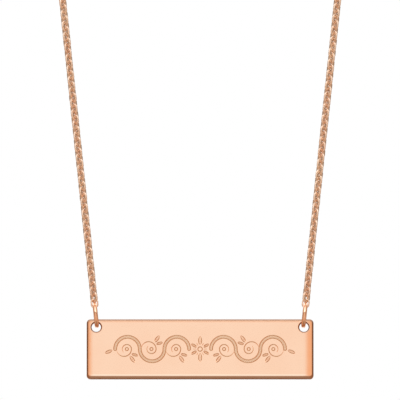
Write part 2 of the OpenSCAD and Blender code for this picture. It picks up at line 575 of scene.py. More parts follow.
@dataclass
class Shell:
    """A mesh under construction, in millimetres.

    Attributes:
        points: Places of its points.
        faces: Its faces, as numbers of points.
    """

    points: list[Point] = field(default_factory=list)
    faces: list[Face] = field(default_factory=list)

    def add(self, points: Iterable[Point]) -> list[int]:
        """Adds points.

        Args:
            points: Their places.

        Returns:
            Their numbers.
        """
        first = len(self.points)
        self.points.extend(points)
        return list(range(first, len(self.points)))

    def band(self, first: Sequence[int], second: Sequence[int]) -> None:
        """Joins two closed rows of the same count with four-sided faces.

        Args:
            first: The first row of point numbers.
            second: The second row.
        """
        count = len(first)
        for i in range(count):
            j = (i + 1) % count
            self.faces.append((first[i], first[j], second[j], second[i]))

    def sweep(self, rows: Sequence[Sequence[Point]], closed: bool) -> None:
        """Joins rings of points into a tube.

        Args:
            rows: The rings, each of the same count.
            closed: Whether the last ring joins the first. Otherwise both ends are capped.
        """
        numbers = [self.add(row) for row in rows]
        for first, second in zip(numbers, numbers[1:]):
            self.band(first, second)
        if closed:
            self.band(numbers[-1], numbers[0])
        else:
            self.faces.append(tuple(reversed(numbers[0])))
            self.faces.append(tuple(numbers[-1]))

    def mesh(self, name: str) -> bpy.types.Mesh:
        """Writes the mesh in metres, its faces pointing outwards.

        Args:
            name: The mesh's name.

        Returns:
            The mesh.
        """
        made = bpy.data.meshes.new(name)
        made.from_pydata([tuple(c * MM for c in p) for p in self.points], [], self.faces)
        made.validate()
        turn_out(made)
        made.shade_smooth()
        return made


def turn_out(mesh: bpy.types.Mesh) -> None:
    """Turns a closed mesh's faces outwards if its signed volume is negative.

    Args:
        mesh: The mesh, with faces that agree with each other.
    """
    mesh.calc_loop_triangles()
    place = [v.co for v in mesh.vertices]
    corners = (triangle.vertices for triangle in mesh.loop_triangles)
    if sum(place[a].dot(place[b].cross(place[c])) for a, b, c in corners) < 0:
        mesh.flip_normals()


def shown(mesh: bpy.types.Mesh, name: str) -> bpy.types.Object:
    """Makes an object of a mesh, at the origin.

    Args:
        mesh: The mesh.
        name: The piece's name.

    Returns:
        The object.
    """
    made = bpy.data.objects.new(name, mesh)
    bpy.context.scene.collection.objects.link(made)
    return made


def made_plain(piece: bpy.types.Object) -> None:
    """Turns what a piece's modifiers make into its own plain mesh.

    Args:
        piece: The piece.
    """
    graph = bpy.context.evaluated_depsgraph_get()
    graph.update()
    result = piece.evaluated_get(graph)
    new = bpy.data.meshes.new_from_object(result, preserve_all_data_layers=True, depsgraph=graph)
    piece.modifiers.clear()
    old, piece.data = piece.data, new
    bpy.data.meshes.remove(old)
    new.name = piece.name


def joined(first: bpy.types.Object, others: Sequence[bpy.types.Object]) -> bpy.types.Object:
    """Joins pieces into the first.

    Args:
        first: The piece that is kept.
        others: The pieces that go into it.

    Returns:
        The first piece.
    """
    with bpy.context.temp_override(active_object=first, selected_editable_objects=[first, *others]):
        bpy.ops.object.join()
    return first


def placed(piece: bpy.types.Object, body: Body, slot: Slot, *nodes: str) -> bpy.types.Object:
    """Puts a finished piece on its body.

    Args:
        piece: The piece.
        body: The body that it rides on.
        slot: Not used; the material slot that it would take its finish from.
        *nodes: The solids that it stands for.

    Returns:
        The piece.
    """
    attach(piece, body.value)
    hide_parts(*nodes)
    return piece


def wire_section(
    centre: Vector, out: Vector, normal: Vector, mean: float, radius: float, sides: int
) -> list[Point]:
    """Points round a wire that is bent round a middle.

    Args:
        centre: The middle of the bend.
        out: The direction from there to the wire.
        normal: The direction square to the bend.
        mean: Distance of the wire's own middle from the centre.
        radius: Radius of the wire.
        sides: Sides of the wire.

    Returns:
        The points.
    """
    turns = [k * math.tau / sides for k in range(sides)]
    return [
        tuple(centre + out * (mean + radius * math.cos(t)) + normal * (radius * math.sin(t))) for t in turns
    ]


@dataclass(frozen=True)
class Ring:
    """A ring of round wire with a soldered seam, flat in its own plane.

    Attributes:
        od: Outside diameter.
        wire: Diameter of the wire.
        seam: Angle of the seam, in degrees.
        across: Sides of the wire.
        along: Sections round the ring.
        seam_cut: Depth of the fine line at the seam.
        seam_cut_w: Half the width of that line.
        seam_swell: How much thicker the solder makes the wire, as a share.
        seam_reach: How far the solder reaches.
        seam_steps: Places of the extra sections beside the seam.
    """

    od: float
    wire: float
    seam: float = 205.0
    across: int = 24
    along: int = 112
    seam_cut: float = 0.022
    seam_cut_w: float = 0.03
    seam_swell: float = 0.012
    seam_reach: float = 0.22
    seam_steps: tuple[float, ...] = (-0.035, -0.018, 0.0, 0.018, 0.035)

    def rows(self, centre: Vector, first: Vector, second: Vector) -> list[list[Point]]:
        """Places the sections.

        Args:
            centre: The ring's middle.
            first: The direction of angle 0 in the ring's plane.
            second: The direction of angle 90.

        Returns:
            The sections' points.
        """
        normal = first.cross(second).normalized()
        mean = (self.od - self.wire) / 2
        seam = math.radians(self.seam) % math.tau
        angles = {i * math.tau / self.along for i in range(self.along)}
        angles |= {seam + step / mean for step in self.seam_steps}
        rows = []
        for angle in sorted(angles):
            off = abs((angle - seam + math.pi) % math.tau - math.pi) * mean
            cut = self.seam_cut * max(0.0, 1 - off / self.seam_cut_w)
            swell = self.seam_swell * math.exp(-((off / self.seam_reach) ** 2))
            radius = self.wire / 2 * (1 + swell) - cut
            out = first * math.cos(angle) + second * math.sin(angle)
            rows.append(wire_section(centre, out, normal, mean, radius, self.across))
        return rows


@dataclass(frozen=True)
class SmallRings:
    """The four small rings: two on the bar and one on each side of the clasp.

    Attributes:
        loop: The necklace's sizes.
    """

    loop: Loop

    def build(self, metal: bpy.types.Material) -> list[bpy.types.Object]:
        """Builds the rings.

        Args:
            metal: Their material.

        Returns:
            Their objects.
        """
        loop = self.loop
        rings = []
        for side in Side:
            s, name = side.value, side.name.lower()
            centre = Vector((s * loop.plate_ring_x, 0.0, loop.plate_ring_z))
            along = Vector((s * math.sin(loop.lean), 0.0, math.cos(loop.lean)))
            rings.append((f"jump_ring_{name}", f"bar_ring_{name}", centre, along))
        level = Vector((1.0, 0.0, 0.0))
        rings.append(("clasp_ring", "eye_link_ring", Vector((loop.clasp_ring_x, 0.0, loop.row_z)), level))
        rings.append(("catch_ring", "catch_link_ring", Vector((loop.catch_ring_x, 0.0, loop.row_z)), level))
        made = []
        for node, name, centre, along in rings:
            shell = Shell()
            rows = Ring(loop.ring_od, loop.ring_wire).rows(centre, along, Vector((0.0, 1.0, 0.0)))
            shell.sweep(rows, True)
            piece = shown(shell.mesh(name), name)
            piece.data.materials.append(metal)
            made.append(placed(piece, Body.CHAIN, Slot.WIRE, node))
        return made


class Stroke:
    """One engraved line: its middle, its width at the surface at each point, and its depth there."""

    def __init__(
        self, middle: Sequence[complex], widths: Sequence[float], depth: float, closed: bool
    ) -> None:
        """Takes the line.

        Args:
            middle: Points along the line's middle.
            widths: Width at each point.
            depth: Depth where the line has its full width.
            closed: Whether the line closes on itself.
        """
        self.middle = list(middle)
        self.widths = list(widths)
        self.full = max(self.widths)
        self.depth = depth
        self.closed = closed
        reach = complex(self.full, self.full)
        self.low = complex(min(p.real for p in middle), min(p.imag for p in middle)) - reach
        self.high = complex(max(p.real for p in middle), max(p.imag for p in middle)) + reach

    def covers(self, point: complex) -> bool:
        """Whether a place lies in the line's box, where alone it can be in the line."""
        return self.low.real < point.real < self.high.real and self.low.imag < point.imag < self.high.imag

    def sides(self) -> tuple[list[complex], list[complex]]:
        """Works out the two edges of the line at the surface.

        Returns:
            The left edge and the right edge.
        """
        left, right = [], []
        count = len(self.middle)
        for i, (point, width) in enumerate(zip(self.middle, self.widths)):
            if self.closed:
                before, after = self.middle[i - 1], self.middle[(i + 1) % count]
            else:
                before, after = self.middle[max(i - 1, 0)], self.middle[min(i + 1, count - 1)]
            normal = (after - before) / abs(after - before) * 1j
            left.append(point + normal * width / 2)
            right.append(point - normal * width / 2)
        return left, right

    def depth_at(self, point: complex) -> float:
        """Depth of this line's V at a place.

        Args:
            point: The place.

        Returns:
            The depth, 0 outside the line.
        """
        if not self.covers(point):
            return 0.0
        best = 0.0
        count = len(self.middle)
        for i in range(count if self.closed else count - 1):
            j = (i + 1) % count
            start, span = self.middle[i], self.middle[j] - self.middle[i]
            t = min(1.0, max(0.0, ((point - start) * span.conjugate()).real / abs(span) ** 2))
            width = self.widths[i] + (self.widths[j] - self.widths[i]) * t
            if width > THINNEST:
                share = width / self.full
                best = max(best, share * self.depth * (1 - abs(point - start - span * t) / (width / 2)))
        return best

    def distance(self, point: complex) -> float:
        """Distance of a place from the points of the line's middle."""
        return min(abs(point - p) for p in self.middle)


@dataclass(frozen=True)
class Place:
    """A shift, a turn and a flip in the bar's plane, on complex numbers x + iz.

    Attributes:
        shift: Where its origin lies.
        turn: Its turn, a number of size 1.
        flipped: Whether it is flipped across its own x axis first.
    """

    shift: complex = 0j
    turn: complex = 1 + 0j
    flipped: bool = False

    def at(self, point: complex) -> complex:
        """The plane's point for a point of this place."""
        return self.shift + self.turn * (point.conjugate() if self.flipped else point)

    def then(self, shift: complex = 0j, degrees: float = 0.0, flipped: bool = False) -> "Place":
        """Makes a place within this one.

        Args:
            shift: Its origin.
            degrees: Its turn.
            flipped: Whether it is flipped across its own x axis first.

        Returns:
            The new place.
        """
        turn = cmath.exp(1j * math.radians(degrees))
        turn = self.turn * (turn.conjugate() if self.flipped else turn)
        return Place(self.at(shift), turn, self.flipped != flipped)

    def arc(self, radius: float, start: float, sweep: float, step: float = 0.11) -> list[complex]:
        """Points along an arc round this place's origin.

        Args:
            radius: Its radius.
            start: Its first angle, in degrees.
            sweep: The angle that it covers.
            step: Rough distance between points.

        Returns:
            The points.
        """
        count = max(4, round(abs(math.radians(sweep)) * radius / step))
        angles = [math.radians(start + sweep * i / count) for i in range(count + 1)]
        return [self.at(radius * cmath.exp(1j * angle)) for angle in angles]


@dataclass(frozen=True)
class Scroll:
    """The engraved band: a vine with curls and leaves on each side of a flower.

    The sizes are those of the part's source. The stem's two lines run on without a break here.

    Attributes:
        loop: The necklace's sizes.
        scroll_r: Radius of a half circle of stem.
        stem_gap: Distance between the stem's two lines.
        groove_w: Width of an engraved line.
        groove_depth: Depth of an engraved line.
        flower_r: Radius of the flower.
        leaf_l: Length of a leaf.
        margin: Room left between the vine and a hole's rim.
        curl_share: Radius of a curl, as a share of the room in its turn.
        tip_share: Radius of the curl's tip, as such a share.
        bud_share: Radius of the bud, as such a share.
        petal_share: Length of a petal, as a share of the flower's radius.
        tall_petal_share: Length of the upper and the lower petal.
        eye_share: Radius of the flower's eye.
        leaf_bend: Half the angle that a leaf's edge bends through, in degrees.
        stalk_gap: Room between a leaf and its stem, in widths of a line.
        end_droop: How far the vine's last leaf droops, in degrees.
    """

    loop: Loop
    scroll_r: float = 1.9
    stem_gap: float = 0.44
    groove_w: float = 0.16
    groove_depth: float = 0.08
    flower_r: float = 1.7
    leaf_l: float = 1.25
    margin: float = 0.3
    curl_share: float = 0.68
    tip_share: float = 0.42
    bud_share: float = 0.14
    petal_share: float = 0.6
    tall_petal_share: float = 0.85
    eye_share: float = 0.2
    leaf_bend: float = 34.0
    stalk_gap: float = 1.5
    end_droop: float = 22.0

    @property
    def turns(self) -> int:
        """Half circles of stem on each side."""
        hole = self.loop.hole_x - self.loop.hole_d / 2 - self.loop.hole_rim
        room = hole - self.margin - self.flower_r - self.stem_gap / 2 - self.leaf_l
        return int(room // (2 * self.scroll_r))

    @property
    def vine_end(self) -> float:
        """Distance of the end of a stem from the flower's middle."""
        return self.flower_r + 2 * self.scroll_r * self.turns

    def turn_middle(self, number: int) -> float:
        """Distance of the middle of one turn of the stem from the flower's middle."""
        return self.flower_r + self.scroll_r * (2 * number + 1)

    def line(
        self, middle: Sequence[complex], start: float = 1.0, end: float = 1.0, width: float = 1.0
    ) -> Stroke:
        """Makes an open engraved line whose width may die away at its ends.

        Args:
            middle: Its points.
            start: Share of the width at its start.
            end: Share of the width at its end.
            width: Share of the usual width.

        Returns:
            The line, with a point beyond each end where it runs out.
        """
        full, last = self.groove_w * width, len(middle) - 1
        ends = max(2, round(last * 0.22))
        widths = []
        for i in range(last + 1):
            opening = min(1.0, i / ends)
            closing = min(1.0, (last - i) / ends)
            widths.append(full * (start + (1 - start) * opening) * (end + (1 - end) * closing))
        first = middle[0] + (middle[0] - middle[1]) / abs(middle[0] - middle[1]) * widths[0] / 2
        final = middle[-1] + (middle[-1] - middle[-2]) / abs(middle[-1] - middle[-2]) * widths[-1] / 2
        return Stroke([first, *middle, final], [0.0, *widths, 0.0], self.groove_depth * width, False)

    def ring(self, place: Place, radius: float) -> Stroke:
        """Makes an engraved circle.

        Args:
            place: Its middle.
            radius: Its radius.

        Returns:
            The line.
        """
        points = place.arc(radius, 0, 360, 0.09)[:-1]
        return Stroke(points, [self.groove_w] * len(points), self.groove_depth, True)

    def leaf(self, place: Place, length: float) -> list[Stroke]:
        """Makes a leaf from its stalk end: two curved edges and a fine vein.

        Args:
            place: Its stalk end, the leaf pointing along x.
            length: Its length.

        Returns:
            Its lines.
        """
        radius = length / 2 / math.sin(math.radians(self.leaf_bend))
        drop = radius * math.cos(math.radians(self.leaf_bend))
        gap = math.degrees(0.35 * self.groove_w / radius)
        lines = []
        for s in (-1, 1):
            middle = place.then(complex(length / 2, -s * drop))
            arc = middle.arc(radius, s * 90 - self.leaf_bend + gap, 2 * (self.leaf_bend - gap), 0.09)
            lines.append(self.line(arc, 0.35, 0.35))
        vein = [place.at(length * t) for t in (0.24, 0.34, 0.44, 0.54, 0.64, 0.74)]
        lines.append(self.line(vein, 0.25, 0.1, 0.5))
        return lines

    def turn(self, place: Place) -> list[Stroke]:
        """Makes what fills one turn of the vine: a curl that ends in a bud, and its two leaves.

        Args:
            place: The middle of the turn.

        Returns:
            Its lines.
        """
        inner = self.scroll_r - self.stem_gap / 2
        curl_r, tip_r = inner * self.curl_share, inner * self.tip_share
        bud = place.then(complex(inner - 2 * curl_r + tip_r))
        curl = place.then(complex(inner - curl_r)).arc(curl_r, 360 - 6, -174)
        lines = [self.line(curl + bud.arc(tip_r, 180, -220)[1:], 0.3, 0.45)]
        lines.append(self.ring(bud, inner * self.bud_share))
        for spot, heading, share in ((213, 196, 0.85), (229, 234, 1.05)):
            out = (curl_r + self.stalk_gap * self.groove_w) * cmath.exp(1j * math.radians(spot))
            lines += self.leaf(place.then(complex(inner - curl_r) + out, heading), self.leaf_l * share)
        return lines

    def stem(self, place: Place) -> Stroke:
        """Makes the outline of one vine's stem, a closed line.

        Args:
            place: The flower's middle, the vine going along x.

        Returns:
            The line.
        """
        half = self.stem_gap / 2
        lower, upper = [], []
        for i in range(self.turns):
            middle = place.then(complex(self.turn_middle(i)), 0, i % 2 == 1)
            s = 1 if i % 2 == 0 else -1
            lower += middle.arc(self.scroll_r - s * half, 180, -180)[:-1]
            upper += middle.arc(self.scroll_r + s * half, 180, -180)[:-1]
        start, end = place.then(complex(self.flower_r)), place.then(complex(self.vine_end))
        if self.turns % 2 == 1:
            points = lower + end.arc(half, 180, 180)[:-1] + [end.at(complex(half))] + upper[::-1]
        else:
            points = upper + end.arc(half, 0, 180)[:-1] + [end.at(complex(-half))] + lower[::-1]
        points += start.arc(half, 180, 180)[1:-1]
        return Stroke(points, [self.groove_w] * len(points), self.groove_depth, True)

    def flower(self, place: Place) -> list[Stroke]:
        """Makes the flower: six petals and six stamens round an eye.

        Args:
            place: Its middle.

        Returns:
            Its lines.
        """
        eye = self.flower_r * self.eye_share
        lines = [self.ring(place, eye)]
        for angle in range(30, 390, 60):
            share = self.tall_petal_share if angle % 180 == 90 else self.petal_share
            start = place.then(0j, angle).then(complex(eye + self.stalk_gap * self.groove_w))
            lines += self.leaf(start, self.flower_r * share)
        for angle in range(0, 360, 60):
            spoke = place.then(0j, angle)
            lines.append(self.line([spoke.at(complex(eye + 0.2 + 0.1 * i)) for i in range(6)], 0.2, 0.9, 0.6))
        return lines

    def strokes(self) -> list[Stroke]:
        """Makes the whole engraving.

        Returns:
            Its lines.
        """
        lines = self.flower(Place())
        droop = -self.end_droop if self.turns % 2 == 1 else self.end_droop
        for place in (Place(), Place(0j, -1 + 0j, True)):
            lines.append(self.stem(place))
            for i in range(self.turns):
                lines += self.turn(place.then(complex(self.turn_middle(i)), 0, i % 2 == 1))
            end = place.then(complex(self.vine_end), droop)
            start = end.then(complex(self.stem_gap / 2 + self.stalk_gap * self.groove_w))
            lines += self.leaf(start, self.leaf_l)
        return lines

    def in_stem(self, point: complex) -> bool:
        """Whether a place lies between the two lines of a stem, its round ends included.

        Args:
            point: The place.

        Returns:
            True between the lines.
        """
        along = complex(abs(point.real), point.imag)
        half = self.stem_gap / 2
        if min(abs(along - self.flower_r), abs(along - self.vine_end)) < half:
            return True
        for i in range(self.turns):
            off = along - self.turn_middle(i)
            if off.imag * (-1) ** i > 0 and abs(abs(off) - self.scroll_r) < half:
                return True
        return False


@dataclass(frozen=True)
class BarFace:
    """One finished face of the bar, by the numbers of its points and faces in the bar's mesh.

    Attributes:
        rims: The points of its outline and of each hole's rim.
        cut: How deep the engraving is at its points, as a share of its full depth.
        stem: The faces between the lines of a stem.
    """

    rims: list[list[int]]
    cut: dict[int, float]
    stem: list[int]


@dataclass(frozen=True)
class Nameplate:
    """The bar: faces that fall away at their edges, rounded edges, sloping hole rims and the engraving.

    Attributes:
        loop: The necklace's sizes.
        scroll: The engraving.
        end_fall: How far the faces fall at the two ends.
        end_reach: How far from an end the fall begins.
        side_fall: How far the faces fall at the top.
        side_reach: How far from the top that fall begins.
        low_fall: How far the faces fall at the bottom.
        low_reach: How far from the bottom that fall begins.
        roll: Width of an edge's rounding, seen from the front.
        lower_roll: How much wider the rounding is along the lower edge.
        steps: Steps round a rounded edge.
        corner_steps: Steps round a corner.
        long_steps: Steps along a long side.
        short_steps: Steps along a short side.
        hole_steps: Steps round a hole.
        end_columns: Distances from the ends where a face has columns of points.
        side_rows: Distances from the long sides where it has rows of points.
        clear: Room kept between those points and an engraved line.
        hole_ring: Distance of the ring of points round a hole from its rim.
        hole_clear: Room kept between the other points and a hole's rim.
        least_cut: Share of the full depth below which a point isn't cut at all.
        sharp: Angle from which an edge is shown sharp, in degrees.
        wall_painted_shade: How far the edges' painted shade, dark brown standing in for the dark surroundings
            that they mirror, covers their first row of points.
    """

    loop: Loop
    scroll: Scroll
    end_fall: float = 0.085
    end_reach: float = 1.7
    side_fall: float = 0.02
    side_reach: float = 0.55
    low_fall: float = 0.08
    low_reach: float = 0.85
    roll: float = 0.3
    lower_roll: float = 1.85
    steps: int = 6
    corner_steps: int = 8
    long_steps: int = 60
    short_steps: int = 18
    hole_steps: int = 56
    end_columns: tuple[float, ...] = (0.34, 0.42, 0.52, 0.66, 0.82, 1.0, 1.2, 1.45, 1.8, 2.3)
    side_rows: tuple[float, ...] = (0.6, 0.68, 0.77, 0.87, 1.0, 1.4, 1.9, 2.45, 3.0, 3.6, 4.2)
    clear: float = 0.2
    hole_ring: float = 0.06
    hole_clear: float = 0.21
    least_cut: float = 0.04
    sharp: float = 32.0
    wall_painted_shade: float = 0.95

    def fall(self, x: float, z: float) -> float:
        """How far a face lies below its highest level at a place.

        Args:
            x: The place along the bar, from its middle.
            z: The place across it.

        Returns:
            The fall.
        """
        end = max(0.0, 1 - (self.loop.plate_w / 2 - abs(x)) / self.end_reach)
        side_fall, reach = (self.side_fall, self.side_reach) if z > 0 else (self.low_fall, self.low_reach)
        side = max(0.0, 1 - (self.loop.plate_h / 2 - abs(z)) / reach)
        return self.end_fall * end**2 + side_fall * side**2

    def outline(self, inset: float) -> list[complex]:
        """The bar's outline, drawn in by a distance.

        Args:
            inset: The distance.

        Returns:
            Points counter-clockwise, the same count for every inset.
        """
        radius = max(self.loop.corner_r - inset, 0.001)
        w, h = self.loop.plate_w / 2 - inset - radius, self.loop.plate_h / 2 - inset - radius
        low = h - inset * (self.lower_roll - 1)
        points: list[complex] = []
        corners = ((w, h, 0), (-w, h, 90), (-w, -low, 180), (w, -low, 270))
        for i, (x, z, start) in enumerate(corners):
            angles = [math.radians(start + 90 * k / self.corner_steps) for k in range(self.corner_steps + 1)]
            arc = [complex(x, z) + radius * cmath.exp(1j * angle) for angle in angles]
            next_x, next_z, turn = corners[(i + 1) % 4]
            target = complex(next_x, next_z) + radius * cmath.exp(1j * math.radians(turn))
            count = self.long_steps if i % 2 == 0 else self.short_steps
            points += arc + [arc[-1] + (target - arc[-1]) * k / count for k in range(1, count)]
        return points

    def hole_middle(self, side: Side) -> complex:
        """The middle of a hole, from the middle of the bar."""
        return complex(side.value * self.loop.hole_x, self.loop.hole_z)

    def hole(self, side: Side, radius: float) -> list[complex]:
        """A circle round a hole.

        Args:
            side: Which hole.
            radius: Its radius.

        Returns:
            The points.
        """
        turns = [1j * math.tau * k / self.hole_steps for k in range(self.hole_steps)]
        return [self.hole_middle(side) + radius * cmath.exp(turn) for turn in turns]

    def hole_wall(self, side: Side, inset: float) -> list[complex]:
        """A row of a hole's rim.

        Args:
            side: Which hole.
            inset: Distance of the row from the hole's narrow middle.

        Returns:
            The points.
        """
        return self.hole(side, self.loop.hole_d / 2 + inset)

    def face_points(self, strokes: Sequence[Stroke]) -> list[complex]:
        """Points that the face needs away from its lines, close together where it falls away.

        Args:
            strokes: The engraved lines, which are kept clear.

        Returns:
            The points. Their columns meet the outline's own points, so that its shading is even.
        """
        w, h = self.loop.plate_w / 2, self.loop.plate_h / 2
        step = (self.loop.plate_w - 2 * self.loop.corner_r) / self.long_steps
        inner = math.floor((w - self.end_columns[-1] - step / 2) / step)
        xs = [w - e for e in self.end_columns] + [step * i for i in range(1, inner + 1)]
        xs = [0.0] + [s * x for x in xs for s in (-1, 1)]
        zs = [s * (h - e) for e in self.side_rows for s in (-1, 1)] + [0.0]
        holes = [self.hole_middle(side) for side in Side]
        top = h - self.roll - self.hole_ring
        kept = [p for side in Side for p in self.hole(side, self.loop.rim_r + self.hole_ring) if p.imag < top]
        for p in (complex(x, z) for x in xs for z in zs):
            in_hole = any(abs(p - middle) < self.loop.rim_r + self.hole_clear for middle in holes)
            if not in_hole and not any(s.covers(p) and s.distance(p) < self.clear for s in strokes):
                kept.append(p)
        return kept

    def face(self, shell: Shell, strokes: Sequence[Stroke], front: bool) -> BarFace:
        """Builds one face of the bar.

        Args:
            shell: The mesh to add to.
            strokes: Its engraved lines.
            front: Whether it is the front.

        Returns:
            Its points and faces.
        """
        rims = [self.outline(self.roll)] + [self.hole(side, self.loop.rim_r) for side in Side]
        rows = [(rim, True) for rim in rims]
        for stroke in strokes:
            left, right = stroke.sides()
            rows += [(row, stroke.closed) for row in (left, stroke.middle, right)]
        points: list[complex] = []
        edges: list[tuple[int, int]] = []
        for row, closed in rows:
            numbers = range(len(points), len(points) + len(row))
            points += row
            edges += zip(numbers, numbers[1:])
            if closed:
                edges.append((numbers[-1], numbers[0]))
        points += self.face_points(strokes)
        flat = [Vector((p.real, p.imag)) for p in points]
        verts, _, triangles, origins, _, _ = delaunay_2d_cdt(flat, edges, [], 0, MERGE)

        places = [complex(v.x, v.y) for v in verts]
        rim_count = sum(len(rim) for rim in rims)
        depths = []
        for place, sources in zip(places, origins):
            on_rim = any(source < rim_count for source in sources)
            depth = 0.0 if on_rim else max((s.depth_at(place) for s in strokes), default=0.0)
            depths.append(depth if depth > self.least_cut * self.scroll.groove_depth else 0.0)
        sign, half = -1.0 if front else 1.0, self.loop.plate_t / 2
        numbers = shell.add(
            (p.real, sign * (half - self.fall(p.real, p.imag) - depth), p.imag + self.loop.plate_z)
            for p, depth in zip(places, depths)
        )

        inside = self.loop.rim_r * math.cos(math.pi / self.hole_steps) - MERGE
        stem = []
        for triangle in triangles:
            middle = sum(places[i] for i in triangle) / len(triangle)
            if any(abs(middle - self.hole_middle(side)) < inside for side in Side):
                continue
            if front and self.scroll.in_stem(middle) and all(depths[i] == 0 for i in triangle):
                stem.append(len(shell.faces))
            shell.faces.append(tuple(numbers[i] for i in (triangle if front else reversed(triangle))))
        merged = {source: numbers[i] for i, sources in enumerate(origins) for source in sources}
        ordered = iter(range(rim_count))
        rows_kept = [[merged[next(ordered)] for _ in rim] for rim in rims]
        full = self.scroll.groove_depth
        cut = {number: depth / full for number, depth in zip(numbers, depths) if depth > 0}
        return BarFace(rows_kept, cut, stem)

    def rounded(self, rows: Callable[[float], list[complex]], reach: float) -> list[list[Point]]:
        """Rows of points from the front's rim to the back's, over both rounded edges.

        Args:
            rows: Gives the points at an inset from the widest row.
            reach: Inset of the face's rim from the widest row.

        Returns:
            The rows between the two rims, without the rims themselves.
        """
        half, depth = self.loop.plate_t / 2, self.loop.edge_r
        angles = [math.radians(90 * k / self.steps) for k in range(1, self.steps + 1)]
        made = []
        for sign, angle in [(-1, a) for a in angles] + [(1, a) for a in reversed(angles)]:
            row = rows(reach * (1 - math.sin(angle)))
            drop = depth * (1 - math.cos(angle))
            levels = [half - drop - self.fall(p.real, p.imag) * math.cos(angle) for p in row]
            made.append([(p.real, sign * y, p.imag + self.loop.plate_z) for p, y in zip(row, levels)])
        return made

    @staticmethod
    def mark(mesh: bpy.types.Mesh, name: str, values: dict[int, float]) -> None:
        """Writes an attribute of a mesh's points.

        Args:
            mesh: The mesh.
            name: The attribute's name.
            values: Its values by point number, 0 elsewhere.
        """
        layer = mesh.attributes.new(name, "FLOAT", "POINT")
        for number, value in values.items():
            layer.data[number].value = value

    def build(self, polished: bpy.types.Material, matted: bpy.types.Material) -> bpy.types.Object:
        """Builds the bar.

        Args:
            polished: The material of the bar.
            matted: The material between the lines of a stem.

        Returns:
            Its object.
        """
        shell = Shell()
        front = self.face(shell, self.scroll.strokes(), True)
        back = self.face(shell, [], False)
        walls = [(self.outline, self.roll)]
        walls += [(partial(self.hole_wall, side), self.loop.hole_rim) for side in Side]
        # The edge attribute is painted shade: dark brown laid on the rounded edges and hole rims, standing in
        # for the dark surroundings that they mirror.
        edge: dict[int, float] = {}
        for number, (rows, reach) in enumerate(walls):
            added = [shell.add(row) for row in self.rounded(rows, reach)]
            edge.update({point: 1.0 for row in added for point in row})
            edge.update({point: self.wall_painted_shade for row in (added[0], added[-1]) for point in row})
            numbers = [front.rims[number], *added, back.rims[number]]
            for first, second in zip(numbers, numbers[1:]):
                if rows == self.outline:
                    shell.band(second, first)
                else:
                    shell.band(first, second)
        mesh = shell.mesh("engraved_bar")
        self.mark(mesh, "cut", front.cut)
        self.mark(mesh, "edge", edge)
        mesh.set_sharp_from_angle(angle=math.radians(self.sharp))
        for number in front.stem:
            mesh.polygons[number].material_index = 1
        bar = shown(mesh, "engraved_bar")
        bar.modifiers.new("even_normals", "WEIGHTED_NORMAL").keep_sharp = True
        made_plain(bar)
        for metal in (polished, matted):
            bar.data.materials.append(metal)
        return placed(bar, Body.BAR, Slot.POLISHED, "nameplate")


